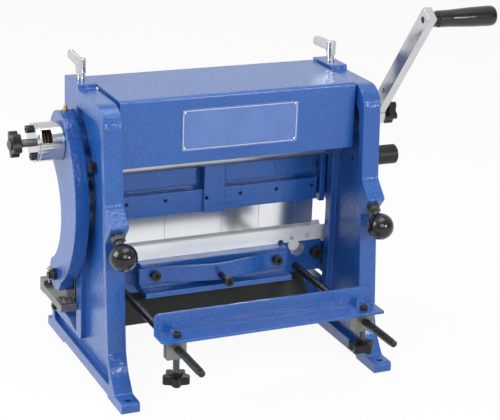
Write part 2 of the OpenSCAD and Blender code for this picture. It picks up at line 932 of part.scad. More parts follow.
module eccentric_body() {
    difference() {
        union() {
            x_rod(ecc_r, xo + 0.5, boss_x0 + eps, axis_y + throw, axis_z);
            x_rod(boss_r, boss_x0, boss_x1 - boss_edge, axis_y, axis_z, $fn = 64);
            translate([boss_x1 - boss_edge - eps, axis_y, axis_z])
                rotate([0, 90, 0])
                    cylinder(r1 = boss_r, r2 = boss_r - boss_edge, h = boss_edge + eps, $fn = 64);
        }
        x_rod(shaft_r + run, xo, boss_x1 + 1, axis_y, axis_z);
        // the split between the boss's two halves
        for (y = [-1, 1])
            translate([0, axis_y + y * boss_r, axis_z])
                slab(boss_x0 + 2, boss_x1 + 1, -split_d, split_d, -split_w / 2, split_w / 2);
    }
}

module eccentric_right() {
    color([0.8, 0.8, 0.83])
        eccentric_body();
}

module eccentric_left() {
    color([0.8, 0.8, 0.83])
        mirror([1, 0, 0])
            difference() {
                eccentric_body();
                x_rod(cavity_r, cavity_x0, boss_x1 + 1, axis_y, axis_z);
                // window over the spring
                translate([0, axis_y, axis_z])
                    rotate([58, 0, 0])
                        slab(spring_x0 - 0.5, spring_x1 - 0.5, -9, 9, 0, boss_r + 5);
                cap_places()
                    x_rod(cap_screw_m / 2 + run, boss_x1 - 12, boss_x1 + 1, 0, 0);
            }
}

// the places of the end plate's two screws
module cap_places() {
    for (a = [0, 180])
        translate([0, axis_y + cap_screw_r * cos(cap_turn + a), axis_z + cap_screw_r * sin(cap_turn + a)])
            children();
}

module end_plate() {
    color([0.8, 0.8, 0.83])
        mirror([1, 0, 0])
            difference() {
                intersection() {
                    x_rod(boss_r, boss_x1, boss_x1 + cap_t, axis_y, axis_z, $fn = 64);
                    translate([boss_x1, axis_y, axis_z])
                        rotate([0, 90, 0])
                            cylinder(r1 = boss_r - boss_edge, r2 = boss_r + cap_t - boss_edge, h = cap_t,
                                $fn = 64);
                }
                x_rod(rod_d / 2 + run, boss_x1 - 1, boss_x1 + cap_t + 1, axis_y, axis_z);
                cap_places()
                    x_rod(cap_screw_m / 2 + run, boss_x1 - 1, boss_x1 + cap_t + 1, 0, 0);
            }
}

module end_plate_screws() {
    color([0.05, 0.05, 0.05])
        mirror([1, 0, 0])
            cap_places()
                translate([boss_x1 + cap_t, 0, 0])
                    rotate([0, 90, 0])
                        socket_screw(cap_screw_m, 14);
}

module clutch_rod() {
    color([0.25, 0.25, 0.26])
        mirror([1, 0, 0])
            union() {
                x_rod(rod_d / 2, dog_x0, star_x0 + 6, axis_y, axis_z);
                x_rod(dog_r, dog_x0, dog_x0 + dog_t, axis_y, axis_z);
            }
}

module clutch_knob() {
    color([0.03, 0.03, 0.03])
        mirror([1, 0, 0])
            translate([star_x0, axis_y, axis_z])
                rotate([0, 90, 0])
                    star_body(rod_d / 2 + run);
}

// one unbroken tube: a helix of rings closed by end caps
function coil_ring(k, n) =
    let (t = k / n,
         turn = 360 * spring_curls * t,
         tilt = atan2((spring_x1 - spring_x0), 2 * PI * spring_r * spring_curls),
         out = [0, cos(turn), sin(turn)],
         side = [cos(tilt), sin(turn) * sin(tilt), -cos(turn) * sin(tilt)],
         c = [spring_x0 + (spring_x1 - spring_x0) * t, spring_r * cos(turn), spring_r * sin(turn)])
    [for (j = [0:spring_sides - 1])
        let (b = 360 * j / spring_sides)
        c + spring_wire / 2 * (cos(b) * out + sin(b) * side)];

module clutch_spring() {
    n = spring_curls * spring_rings;
    m = spring_sides;
    pts = [for (k = [0:n]) each coil_ring(k, n)];
    skin = [for (k = [0:n - 1], j = [0:m - 1], h = [0, 1])
        let (a = k * m + j, b = k * m + (j + 1) % m)
        h == 0 ? [a, b, b + m] : [a, b + m, a + m]];
    caps = concat([for (j = [1:m - 2]) [0, j + 1, j]],
        [for (j = [1:m - 2]) [n * m, n * m + j, n * m + j + 1]]);
    echo(least_spring_gap = (spring_x1 - spring_x0) / spring_curls - spring_wire);
    color([0.35, 0.2, 0.12])
        mirror([1, 0, 0])
            translate([0, axis_y, axis_z])
                polyhedron(points = pts, faces = concat(skin, caps));
}

module arm_body() {
    difference() {
        union() {
            x_rod(arm_hub_r, arm_x0, arm_x1, arm_hub_y, axis_z, $fn = 64);
            x_rod(arm_foot_r, arm_x0, arm_x1, pin_y + 1.5, pin_z);
            intersection() {
                difference() {
                    x_rod(front_arc[2], arm_x0, arm_x1, front_arc[0], front_arc[1], $fn = 120);
                    x_rod(back_arc[2], arm_x0 - 1, arm_x1 + 1, back_arc[0], back_arc[1], $fn = 96);
                }
                along_x(arm_x0 - 1, arm_x1 + 1)
                    polygon([[arm_hub_y, axis_z], [-60, axis_z + 22], [-60, 80], [pin_y, pin_z],
                        [pin_y + 24, pin_z + 15], [back_arc[0], back_arc[1]], [arm_hub_y + 40, axis_z - 18]]);
            }
        }
        x_rod(eye_r, arm_x0 - 1, arm_x1 + 1, eye_y, axis_z);
        x_rod(pin_r + run, arm_x0 - 1, arm_x1 + 1, pin_y, pin_z);
        z_rod(2, axis_z + arm_hub_r - 6, axis_z + arm_hub_r + 1, (arm_x0 + arm_x1) / 2, arm_hub_y);
        // spot face of the nipple
        z_rod(4.5, nipple_z, nipple_z + 5, (arm_x0 + arm_x1) / 2, arm_hub_y);
    }
}

module arm_right() color([0.04, 0.13, 0.55]) arm_body();
module arm_left() color([0.04, 0.13, 0.55]) mirror([1, 0, 0]) arm_body();

module grease_nipples() {
    color([0.8, 0.6, 0.2])
        sides()
            translate([(arm_x0 + arm_x1) / 2, arm_hub_y, nipple_z])
                rotate_extrude($fn = 24)
                    polygon([[0, -5], [2 - run, -5], [2 - run, 0.1], [3.5, 0.1], [3.5, 3], [1.8, 3.6], [1.8, 5],
                        [2.6, 6], [2.6, 7.4], [1.4, 8.4], [0, 8.4]]);
}

module arm_pins() {
    color([0.7, 0.7, 0.72])
        sides()
            difference() {
                union() {
                    x_rod(pin_r, tenon_x1 + 0.4, arm_x1 + pin_nut_t, pin_y, pin_z);
                    x_rod(pin_r - 1.2, arm_x1 + pin_nut_t - 1, pin_x1, pin_y, pin_z);
                    translate([arm_x1 + slip, pin_y, pin_z])
                        rotate([0, 90, 0])
                            cylinder(d = pin_nut_af / cos(30), h = pin_nut_t - 2, $fn = 6);
                }
                z_rod(1.3 + run, pin_z - pin_r - 1, pin_z + pin_r + 1, pin_x1 - 2.2, pin_y);
            }
}

module split_pins() {
    color([0.6, 0.6, 0.62])
        sides()
            union() {
                z_rod(1.3, pin_z - pin_r - 5, pin_z + pin_r + 2, pin_x1 - 2.2, pin_y);
                translate([pin_x1 - 2.2, pin_y, pin_z + pin_r + 3.2])
                    rotate([90, 0, 0])
                        rotate_extrude($fn = 24)
                            translate([2, 0])
                                circle(r = 0.9, $fn = 16);
            }
}

// lower beam and what rides on it

module lower_beam() {
    color([0.04, 0.13, 0.55])
        difference() {
            union() {
                slab(-lb_x, lb_x, lb_y0, lb_y1, lb_z0, die_z0);
                slab(-belly_x, belly_x, belly_y, lb_y0 + eps, belly_z0, die_z0);
                slab(-belly_x, belly_x, shelf_y, belly_y + eps, belly_z0, belly_z0 + shelf_t);
                sides()
                    slab(lb_x - eps, tenon_x1, win_y0 + slip, lb_y1, tenon_z0, tenon_z1);
            }
            sides() {
                y_rod(rod_r + run, lb_y0 - 1, lb_y0 + rod_seat, rod_x, rod_z);
                y_rod(end_screw_m / 2 + run, lb_y0 - 1, lb_y0 + 15, end_screw_x, end_screw_z);
                y_rod(crown_screw_m / 2 + run, belly_y - 1, belly_y + 14, crown_screw_x, crown_screw_z);
                for (z = link_bolt_z)
                    x_rod(3 + run, tenon_x1 - 12, tenon_x1 + 1, link_bolt_y, z);
            }
            y_rod(4 + run, belly_y - 1, belly_y + 14, 0, mid_screw_z);
            // round-bar bore, and the seat of the die's tongue in it
            y_rod(cutter_r, belly_y, lb_y1 + 1, cutter_x, cutter_z);
            y_rod(tongue_r + slip, belly_y, die_y1 + slip, tongue_x, tongue_z);
        }
}

module brake_die() {
    v = die_v / 2;
    color([0.72, 0.72, 0.74])
        difference() {
            union() {
                along_x(-die_l / 2, die_l / 2)
                    polygon([[lb_y0, die_z0], [die_y1, die_z0], [die_y1, die_top], [tip_y + v, die_top],
                        [tip_y, die_top - v], [tip_y - v, die_top], [lb_y0, die_top]]);
                y_rod(tongue_r, lb_y0, die_y1, tongue_x, tongue_z);
            }
            // holes and notches for round, square and thin bar
            y_rod(3, lb_y0 - 1, die_y1 + 1, cutter_x - 9.5, die_z0 + 5.5);
            translate([cutter_x + 14, lb_y0 - 1, die_z0 + 6])
                rotate([-90, 0, 0])
                    cylinder(r = 4.6, h = die_y1 - lb_y0 + 2, $fn = 4);
            y_rod(4.5, lb_y0 - 1, die_y1 + 1, cutter_x - 26, die_z0);
        }
}

function crown_y(x) =
    let (u = (x - (crown_x0 + crown_x1) / 2) / ((crown_x1 - crown_x0) / 2 - crown_flat))
    belly_y - crown_t - crown_bow * max(0, 1 - pow(abs(u), 1.3));

module crown_bar() {
    n = 36;
    step = (crown_x1 - crown_x0) / n;
    xs = [for (i = [0:n]) crown_x0 + i * step];
    color([0.06, 0.16, 0.55])
        difference() {
            translate([0, 0, crown_z0])
                linear_extrude(height = crown_z1 - crown_z0)
                    polygon(concat([for (x = xs) [x, crown_y(x)]],
                        [for (i = [n:-1:0]) [xs[i], crown_y(xs[i]) + crown_t]]));
            for (x = [-1, 1])
                y_rod(crown_screw_m / 2 + run, belly_y - crown_t - 2, belly_y + 1, x * crown_screw_x,
                    crown_screw_z);
            y_rod(4 + run, belly_y - crown_bow - crown_t - 2, belly_y + 1, 0, mid_screw_z);
        }
}

// socket screws of the crown bar and the beam's ends
module beam_screws() {
    color([0.05, 0.05, 0.05]) {
        for (x = [-1, 1]) {
            translate([x * crown_screw_x, belly_y - crown_t, crown_screw_z])
                rotate([90, 0, 0])
                    socket_screw(crown_screw_m, crown_t + 12);
            translate([x * end_screw_x, lb_y0, end_screw_z])
                rotate([90, 0, 0])
                    socket_screw(end_screw_m, 14);
        }
        translate([0, belly_y - crown_bow - crown_t - 22, mid_screw_z])
            rotate([90, 0, 0])
                socket_screw(8, crown_bow + crown_t + 34);
    }
}

// links from the beam's ends, through the windows, to the arms
module beam_links() {
    color([0.45, 0.46, 0.48])
        sides()
            difference() {
                union() {
                    slab(arm_x0, link_x1, link_y0, link_y1, link_z0, link_z1);
                    slab(arm_x0, link_x1, link_y1 - link_lug_t, link_y1, link_z0 - 1.5, link_lug_z);
                    slab(tenon_x1, arm_x0 + eps, tongue_y0, tongue_y1, link_z0, link_z1);
                    slab(tenon_x1, tenon_x1 + tongue_t, tongue_y0, tongue_y1, link_z0, tongue_z1);
                }
                x_rod(pin_r + run, tenon_x1 - 1, arm_x0 + 1, pin_y, pin_z);
                // slot near the front end
                slab(arm_x0 + 6, link_x1 - 6, link_y0 + 8, link_y0 + 26, link_z0 - 1, link_z1 + 1);
                z_rod((link_x1 - arm_x0 - 12) / 2, link_z0 - 1, link_z1 + 1, (arm_x0 + link_x1) / 2,
                    link_y0 + 26);
                // slit at the back end
                slab(arm_x0 + 10, arm_x0 + 12, link_y1 - link_lug_t + 3, link_y1 + 1, link_z0 - 2,
                    link_lug_z + 1);
                for (z = link_bolt_z) {
                    x_rod(3 + run, tenon_x1 - 1, arm_x0, link_bolt_y, z);
                    x_rod(5.4, tenon_x1 + tongue_t - 6.4, arm_x0, link_bolt_y, z);
                }
                z_rod(4 + run, link_z0 - 1, link_z0 + 8.5, arm_x0 + 6, link_y1 - 30);
            }
}

module link_bolts() {
    color([0.05, 0.05, 0.05])
        sides() {
            for (z = link_bolt_z)
                translate([tenon_x1 + tongue_t - 6.4, link_bolt_y, z])
                    rotate([0, 90, 0])
                        socket_screw(6, 12);
            translate([arm_x0 + 6, link_y1 - 30, link_z0])
                rotate([180, 0, 0])
                    socket_screw(8, 8);
        }
}

// stop

module stop_rods() {
    color([0.06, 0.06, 0.06])
        sides()
            union() {
                y_rod(rod_r, -stop_reach + rod_tip, lb_y0 + rod_seat, rod_x, rod_z);
                translate([rod_x, -stop_reach + rod_tip, rod_z])
                    rotate([90, 0, 0])
                        rotate_extrude()
                            polygon([[0, -1], [rod_r - 0.3, -1], [rod_r - 0.3, 0], [rod_r - 0.6, rod_tip - 1.8],
                                [rod_r - 1.6, rod_tip - 0.4], [rod_r - 2.4, rod_tip], [0, rod_tip]]);
            }
}

module stop_angle() {
    color([0.04, 0.13, 0.55])
        difference() {
            union() {
                translate([-stop_l / 2, -stop_y + angle_t, 0])
                    rotate([90, 0, 0])
                        linear_extrude(height = angle_t)
                            polygon(rounded([[0, angle_z - angle_t, 0], [stop_l, angle_z - angle_t, 0],
                                [stop_l, angle_top, 5], [0, angle_top, 5]]));
                translate([0, 0, angle_z - angle_t])
                    linear_extrude(height = angle_t)
                        polygon([[-stop_l / 2, -stop_y + 1], [stop_l / 2, -stop_y + 1],
                            [stop_l / 2, -stop_y - angle_leg], [-stop_l / 2 + 6, -stop_y - angle_leg],
                            [-stop_l / 2, -stop_y - angle_leg + 6]]);
            }
            sides()
                z_rod(3 + run, angle_z - angle_t - 1, angle_z + 1, rod_x, -stop_block_y);
        }
}

module stop_blocks() {
    color([0.5, 0.5, 0.52])
        for (x = [-rod_x, rod_x])
            difference() {
                slab(x + stop_block_x0, x + stop_block_x1, -stop_block_y - stop_block_w / 2,
                    -stop_block_y + stop_block_w / 2, stop_block_z0, stop_block_z1);
                y_rod(rod_r + run, -stop_block_y - stop_block_w, -stop_block_y + stop_block_w, x, rod_z);
                z_rod(3 + run, rod_z + rod_r + 1, stop_block_z1 + 1, x, -stop_block_y);
                z_rod(stop_stud_r + run, stop_block_z0 - 1, rod_z, x, -stop_block_y);
            }
}

module stop_screws() {
    color([0.05, 0.05, 0.05])
        sides()
            translate([rod_x, -stop_block_y, angle_z])
                socket_screw(6, angle_t + stop_block_z1 - rod_z - rod_r - 1.2);
}

module stop_knob(z1) {
    color([0.03, 0.03, 0.03])
        union() {
            z_rod(stop_stud_r, z1 - 5, rod_z - rod_r - slip, rod_x, -stop_block_y);
            translate([rod_x, -stop_block_y, z1])
                rotate([180, 0, 0])
                    star_body(0);
        }
}

module stop_knob_right() stop_knob(stop_knob_z1[1]);
module stop_knob_left() mirror([1, 0, 0]) stop_knob(stop_knob_z1[0]);

// crank

module crank_arm() {
    color([0.78, 0.78, 0.8])
        difference() {
            union() {
                translate([crank_x0, axis_y, axis_z])
                    rotate([crank_tilt, 0, 0])
                        slab(0, crank_t, -crank_w / 2, crank_w / 2, 0, crank_l + 12);
                x_rod(crank_hub_r, crank_x0, crank_x1, axis_y, axis_z);
            }
            x_rod(crank_seat_r, crank_x0 - 1, crank_x1 + 1, axis_y, axis_z);
            x_rod(grip_pin_r, crank_x0 - 1, crank_x1 + 1, grip_y, grip_z);
            // shallow drilling low on the bar's inner face
            translate([crank_x0, axis_y, axis_z])
                rotate([crank_tilt, 0, 0])
                    x_rod(3.2, -1, 3, 0, crank_l / 4);
        }
}

module grip_pin() {
    color([0.06, 0.06, 0.06])
        union() {
            x_rod(grip_pin_r, crank_x0 + 1, grip_x0 + grip_l - 8, grip_y, grip_z);
            x_rod(collar_r, crank_x1, crank_x1 + collar_t, grip_y, grip_z);
        }
}

module crank_grip() {
    r0 = grip_r - 2.5;
    color([0.08, 0.05, 0.04])
        translate([grip_x0, grip_y, grip_z])
            rotate([0, 90, 0])
                difference() {
                    rotate_extrude()
                        polygon([[0, 0], [r0 - 1.5, 0], [r0, 1.5], [r0 + 0.3, 20], [grip_r - 0.6, 52],
                            [grip_r, grip_l - 8], [grip_r - 0.4, grip_l - 3], [grip_r - 1.4, grip_l - 1],
                            [grip_r - 3.2, grip_l], [0, grip_l]]);
                    translate([0, 0, -1])
                        cylinder(r = grip_pin_r + run, h = grip_l - 5);
                }
}

module crank_knob() {
    color([0.03, 0.03, 0.03])
        union() {
            x_rod(rod_d / 2, crank_x0 - 5, knob_x0 + 5, axis_y, axis_z);
            translate([knob_x0, axis_y, axis_z])
                rotate([0, 90, 0])
                    star_body(0);
        }
}

left_frame();
right_frame();
top_cover();
cover_spacers();
frame_bolts();
rear_tie_bar();
nameplate();
nameplate_rivets();
upper_beam();
finger_1();
finger_2();
finger_3();
finger_4();
finger_5();
finger_screws();
shear_bed();
lower_blade();
chute();
shaft_bushes();
side_stub();
drive_shaft();
crank_arm();
grip_pin();
crank_grip();
crank_knob();
roll_blocks();
upper_roll();
bending_roll();
wing_screw_left();
wing_screw_right();
ball_knob_left();
ball_knob_right();
ball_stud_left();
ball_stud_right();
eccentric_left();
eccentric_right();
end_plate();
end_plate_screws();
clutch_spring();
clutch_rod();
clutch_knob();
lower_beam();
brake_die();
crown_bar();
beam_screws();
upper_blade();
beam_links();
link_bolts();
arm_left();
arm_right();
arm_pins();
split_pins();
grease_nipples();
stop_rods();
stop_angle();
stop_blocks();
stop_screws();
stop_knob_left();
stop_knob_right();
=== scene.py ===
import bpy
from mathutils import Matrix, Vector


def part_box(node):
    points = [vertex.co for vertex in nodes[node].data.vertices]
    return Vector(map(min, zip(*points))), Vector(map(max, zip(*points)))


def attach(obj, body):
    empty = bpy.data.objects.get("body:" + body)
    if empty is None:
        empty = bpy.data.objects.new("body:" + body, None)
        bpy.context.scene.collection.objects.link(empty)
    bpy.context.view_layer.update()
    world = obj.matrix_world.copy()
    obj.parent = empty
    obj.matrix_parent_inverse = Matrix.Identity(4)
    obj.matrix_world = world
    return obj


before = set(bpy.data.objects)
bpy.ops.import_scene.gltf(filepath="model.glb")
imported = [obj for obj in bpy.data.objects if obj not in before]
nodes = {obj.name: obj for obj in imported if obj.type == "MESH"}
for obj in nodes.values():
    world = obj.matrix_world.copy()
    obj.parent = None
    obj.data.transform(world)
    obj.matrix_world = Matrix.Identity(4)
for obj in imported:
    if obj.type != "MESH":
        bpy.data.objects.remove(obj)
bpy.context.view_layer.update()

# Side frames: two cast-iron cheeks with flanged edges, one the mirror image of the other.
# They are sand cast, filled and sprayed with glossy blue enamel that dries to a fine hammered skin.
CAST_BLUE = (0.010, 0.098, 0.410)
CAST_BLUE_LIGHT = (0.015, 0.126, 0.480)


def new_finish(name):
    finish = bpy.data.materials.new(name)
    finish.use_nodes = True
    return finish, finish.node_tree, finish.node_tree.nodes["Principled BSDF"]


def put(tree, kind, settings=None, **inputs):
    node = tree.nodes.new(kind)
    for key, value in (settings or {}).items():
        setattr(node, key, value)
    for key, value in inputs.items():
        socket = node.inputs[key.replace("_", " ")]
        if isinstance(value, bpy.types.NodeSocket):
            tree.links.new(value, socket)
        else:
            socket.default_value = value
    return node


def object_place(tree, stretch=(1, 1, 1)):
    where = put(tree, "ShaderNodeTexCoord")
    return put(tree, "ShaderNodeMapping", Vector=where.outputs["Object"], Scale=stretch).outputs["Vector"]


def ramp(tree, value, low, high, to_low, to_high):
    node = put(tree, "ShaderNodeMapRange", Value=value)
    node.inputs["From Min"].default_value = low
    node.inputs["From Max"].default_value = high
    node.inputs["To Min"].default_value = to_low
    node.inputs["To Max"].default_value = to_high
    return node.outputs["Result"]


def blend_colours(tree, share, first, second):
    node = put(tree, "ShaderNodeMix", {"data_type": "RGBA"})
    for socket, value in ((node.inputs[0], share), (node.inputs[6], first), (node.inputs[7], second)):
        if isinstance(value, bpy.types.NodeSocket):
            tree.links.new(value, socket)
        else:
            socket.default_value = (*value, 1) if isinstance(value, tuple) else value
    return node.outputs[2]


def edge_wear_and_highlight(tree, radius):
    """A softened edge normal, and a mask that is 1 on the edge itself."""
    round_edge = put(tree, "ShaderNodeBevel", {"samples": 4}, Radius=radius)
    flat = put(tree, "ShaderNodeNewGeometry")
    meet = tree.nodes.new("ShaderNodeVectorMath")
    meet.operation = "DOT_PRODUCT"
    tree.links.new(round_edge.outputs["Normal"], meet.inputs[0])
    tree.links.new(flat.outputs["Normal"], meet.inputs[1])
    return round_edge.outputs["Normal"], ramp(tree, meet.outputs["Value"], 0.99, 0.86, 0.0, 1.0)


def relief(tree, skin, height, normal, strength, distance, socket="Normal"):
    """A shallow texture on top of the softened edges."""
    bump = put(tree, "ShaderNodeBump", Strength=strength, Distance=distance, Height=height, Normal=normal)
    tree.links.new(bump.outputs["Normal"], skin.inputs[socket])


def vary_gloss(tree, skin, noise, low, high):
    tree.links.new(ramp(tree, noise, 0.3, 0.7, low, high), skin.inputs["Roughness"])


def hammered_enamel(name, deep, pale, grain=430.0, depth=0.00030, sparkle=1.0):
    finish, tree, skin = new_finish(name)
    place = object_place(tree)
    drift = put(tree, "ShaderNodeTexNoise", Vector=place, Scale=9.0, Detail=3.0)
    dimple = put(tree, "ShaderNodeTexVoronoi", {"feature": "SMOOTH_F1"}, Vector=place, Scale=grain,
                 Smoothness=0.8)
    peel = put(tree, "ShaderNodeTexNoise", Vector=place, Scale=grain * 0.4, Detail=2.0, Roughness=0.4)
    edge_normal, edge = edge_wear_and_highlight(tree, 0.0022)
    tone = blend_colours(tree, ramp(tree, drift.outputs["Fac"], 0.35, 0.65, 0.0, 1.0), deep, pale)
    pooled = tuple(c * 0.62 for c in deep)
    tone = blend_colours(tree, ramp(tree, dimple.outputs["Distance"], 0.1, 0.55, 0.0, 0.7), tone, pooled)
    # Painted highlight: the enamel's edges are mixed towards a paler blue that stands in for the bright glints
    # along them, not thin paint.
    edge_highlight = tuple(min(1.0, c * 1.5 + 0.02) for c in pale)
    tone = blend_colours(tree, ramp(tree, edge, 0.0, 1.0, 0.0, 0.35), tone, edge_highlight)
    tree.links.new(tone, skin.inputs["Base Color"])
    height = put(tree, "ShaderNodeMath", {"operation": "ADD"})
    tree.links.new(ramp(tree, dimple.outputs["Distance"], 0.0, 0.7, 0.0, 0.5), height.inputs[0])
    tree.links.new(ramp(tree, peel.outputs["Fac"], 0.3, 0.7, 0.0, 0.9), height.inputs[1])
    relief(tree, skin, height.outputs[0], edge_normal, 0.18, depth)
    relief(tree, skin, height.outputs[0], edge_normal, sparkle, depth, "Coat Normal")
    vary_gloss(tree, skin, peel.outputs["Fac"], 0.36, 0.48)
    skin.inputs["Specular IOR Level"].default_value = 0.3
    skin.inputs["Coat Weight"].default_value = 0.8
    skin.inputs["Coat Roughness"].default_value = 0.10
    return finish


def wear(finish, *names):
    for name in names:
        mesh = nodes[name].data
        mesh.materials.clear()
        mesh.materials.append(finish)


casting_enamel = hammered_enamel("casting_enamel", CAST_BLUE, CAST_BLUE_LIGHT)
wear(casting_enamel, "left_frame", "right_frame")

# Top cover: one folded sheet with a short cheek at each end, sprayed with the same enamel.
# Sheet takes the paint more evenly than a casting, so its skin is finer.
sheet_enamel = hammered_enamel("sheet_enamel", CAST_BLUE, CAST_BLUE_LIGHT, grain=480.0, depth=0.00024)
wear(sheet_enamel, "top_cover")

# Cover spacers and every socket bolt in the frames: turned steel, blackened and oiled.
# The blacking is thin on the rims, where the steel shows through.
OXIDE = (0.012, 0.012, 0.014)


def black_oxide(name, base=OXIDE, rub=(0.10, 0.10, 0.10), gloss=0.34):
    finish, tree, skin = new_finish(name)
    place = object_place(tree)
    bloom = put(tree, "ShaderNodeTexNoise", Vector=place, Scale=160.0, Detail=4.0)
    lathe = put(tree, "ShaderNodeTexNoise", Vector=object_place(tree, (1500, 1500, 1500)), Scale=1.0,
                Detail=1.0)
    edge_normal, edge = edge_wear_and_highlight(tree, 0.0006)
    tone = blend_colours(tree, ramp(tree, bloom.outputs["Fac"], 0.35, 0.7, 0.0, 0.7), base,
                         tuple(c * 2.4 for c in base))
    tone = blend_colours(tree, ramp(tree, edge, 0.0, 1.0, 0.0, 0.8), tone, rub)
    tree.links.new(tone, skin.inputs["Base Color"])
    skin.inputs["Metallic"].default_value = 0.2
    skin.inputs["Specular IOR Level"].default_value = 0.35
    vary_gloss(tree, skin, bloom.outputs["Fac"], gloss - 0.08, gloss + 0.1)
    relief(tree, skin, lathe.outputs["Fac"], edge_normal, 0.25, 0.00005)
    return finish


bolt_black = black_oxide("bolt_black", rub=(0.24, 0.24, 0.24), gloss=0.27)
wear(bolt_black, "cover_spacers", "frame_bolts")

# Rear tie bar: a round bar of bright drawn steel that the cover lies on.
BRIGHT_STEEL = (0.60, 0.61, 0.62)


def ground_steel(name, along, light=BRIGHT_STEEL, dark=(0.40, 0.41, 0.43), gloss=0.26, metal=1.0, tooth=0.2):
    """Steel with grinding lines that run along one axis; tooth is how deep they are cut."""
    finish, tree, skin = new_finish(name)
    stretch = tuple(6.0 if axis == along else 900.0 for axis in "XYZ")
    lines = put(tree, "ShaderNodeTexNoise", Vector=object_place(tree, stretch), Scale=1.0, Detail=3.0,
                Roughness=0.6)
    cloud = put(tree, "ShaderNodeTexNoise", Vector=object_place(tree), Scale=22.0, Detail=3.0)
    edge_normal, edge = edge_wear_and_highlight(tree, 0.0004)
    tone = blend_colours(tree, ramp(tree, lines.outputs["Fac"], 0.3, 0.7, 0.0, tooth * 1.75), light, dark)
    tone = blend_colours(tree, ramp(tree, cloud.outputs["Fac"], 0.35, 0.65, 0.0, 0.3), tone, dark)
    tone = blend_colours(tree, ramp(tree, edge, 0.0, 1.0, 0.0, 0.6), tone, (0.82, 0.82, 0.82))
    tree.links.new(tone, skin.inputs["Base Color"])
    skin.inputs["Metallic"].default_value = metal
    rough = ramp(tree, lines.outputs["Fac"], 0.25, 0.75, gloss - tooth * 0.3, gloss + tooth * 0.6)
    tree.links.new(rough, skin.inputs["Roughness"])
    relief(tree, skin, lines.outputs["Fac"], edge_normal, tooth, 0.00004)
    return finish


drawn_bar = ground_steel("drawn_bar", "X", gloss=0.3)
wear(drawn_bar, "rear_tie_bar")

# Nameplate: a thin printed aluminium plate, left bare, with one fine line inside its rim.
# Four chromed drive rivets hold it to the cover's front.
PLATE_BLUE = (0.085, 0.170, 0.440)
plate_low, plate_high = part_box("nameplate")
plate_print, tree, skin = new_finish("plate_print")
place = object_place(tree)
spread = put(tree, "ShaderNodeSeparateXYZ", Vector=place)
plate_mid = (plate_low + plate_high) / 2


def rim_distance(tree, value, middle, half):
    off = put(tree, "ShaderNodeMath", {"operation": "SUBTRACT"})
    tree.links.new(value, off.inputs[0])
    off.inputs[1].default_value = middle
    size = put(tree, "ShaderNodeMath", {"operation": "ABSOLUTE"})
    tree.links.new(off.outputs[0], size.inputs[0])
    left = put(tree, "ShaderNodeMath", {"operation": "SUBTRACT"})
    left.inputs[0].default_value = half
    tree.links.new(size.outputs[0], left.inputs[1])
    return left.outputs[0]


nearest = put(tree, "ShaderNodeMath", {"operation": "MINIMUM"})
half_plate = (plate_high - plate_low) / 2
tree.links.new(rim_distance(tree, spread.outputs["X"], plate_mid.x, half_plate.x), nearest.inputs[0])
tree.links.new(rim_distance(tree, spread.outputs["Z"], plate_mid.z, half_plate.z), nearest.inputs[1])
line = put(tree, "ShaderNodeMath", {"operation": "COMPARE"})
tree.links.new(nearest.outputs[0], line.inputs[0])
LINE_INSET = 0.0021
HALF_LINE = 0.0004
line.inputs[1].default_value = LINE_INSET
line.inputs[2].default_value = HALF_LINE
tint = put(tree, "ShaderNodeTexNoise", Vector=place, Scale=30.0, Detail=4.0)
tone = blend_colours(tree, ramp(tree, tint.outputs["Fac"], 0.3, 0.7, 0.0, 1.0), PLATE_BLUE,
                     (0.105, 0.200, 0.490))
tone = blend_colours(tree, line.outputs[0], tone, (0.60, 0.62, 0.66))
tree.links.new(tone, skin.inputs["Base Color"])
vary_gloss(tree, skin, tint.outputs["Fac"], 0.24, 0.36)
skin.inputs["Metallic"].default_value = 0.25
skin.inputs["Coat Weight"].default_value = 0.4
wear(plate_print, "nameplate")


def polished_chrome(name, light=(0.62, 0.63, 0.64), gloss=0.15):
    finish, tree, skin = new_finish(name)
    place = object_place(tree)
    buff = put(tree, "ShaderNodeTexNoise", Vector=object_place(tree, (70, 900, 900)), Scale=1.0, Detail=2.0)
    haze = put(tree, "ShaderNodeTexNoise", Vector=place, Scale=35.0, Detail=4.0)
    edge_normal, _ = edge_wear_and_highlight(tree, 0.0006)
    tone = blend_colours(tree, ramp(tree, haze.outputs["Fac"], 0.35, 0.7, 0.0, 0.5), light,
                         tuple(c * 0.82 for c in light))
    tree.links.new(tone, skin.inputs["Base Color"])
    skin.inputs["Metallic"].default_value = 1.0
    vary_gloss(tree, skin, haze.outputs["Fac"], gloss - 0.03, gloss + 0.09)
    relief(tree, skin, buff.outputs["Fac"], edge_normal, 0.12, 0.00003)
    return finish


bright_chrome = polished_chrome("bright_chrome")
wear(bright_chrome, "nameplate_rivets")

# Upper beam: the fixed cast beam that carries the fingers, bolted between the frames.
# The five fingers are hardened blocks with ground faces, pinched by black set screws.
wear(casting_enamel, "upper_beam")
finger_steel = ground_steel("finger_steel", "Z", light=(0.80, 0.82, 0.83), dark=(0.72, 0.74, 0.75),
                            gloss=0.14, tooth=0.03)
wear(finger_steel, "finger_1", "finger_2", "finger_3", "finger_4", "finger_5")
wear(bolt_black, "finger_screws")

# Shear bed, its ground lower blade, and the olive sheet chute that the cut piece slides down.
wear(casting_enamel, "shear_bed")
blade_steel = ground_steel("blade_steel", "X")
wear(blade_steel, "lower_blade")
chute_olive, tree, skin = new_finish("chute_olive")
place = object_place(tree)
dust = put(tree, "ShaderNodeTexNoise", Vector=place, Scale=60.0, Detail=5.0)
scuff = put(tree, "ShaderNodeTexNoise", Vector=object_place(tree, (500, 8, 8)), Scale=1.0, Detail=2.0)
tone = blend_colours(tree, ramp(tree, dust.outputs["Fac"], 0.3, 0.7, 0.0, 1.0), (0.030, 0.032, 0.025),
                     (0.042, 0.045, 0.036))
tone = blend_colours(tree, ramp(tree, scuff.outputs["Fac"], 0.6, 0.75, 0.0, 0.25), tone, (0.085, 0.088, 0.078))
tree.links.new(tone, skin.inputs["Base Color"])
vary_gloss(tree, skin, dust.outputs["Fac"], 0.5, 0.66)
bump = put(tree, "ShaderNodeBump", Strength=0.2, Distance=0.00006, Height=dust.outputs["Fac"])
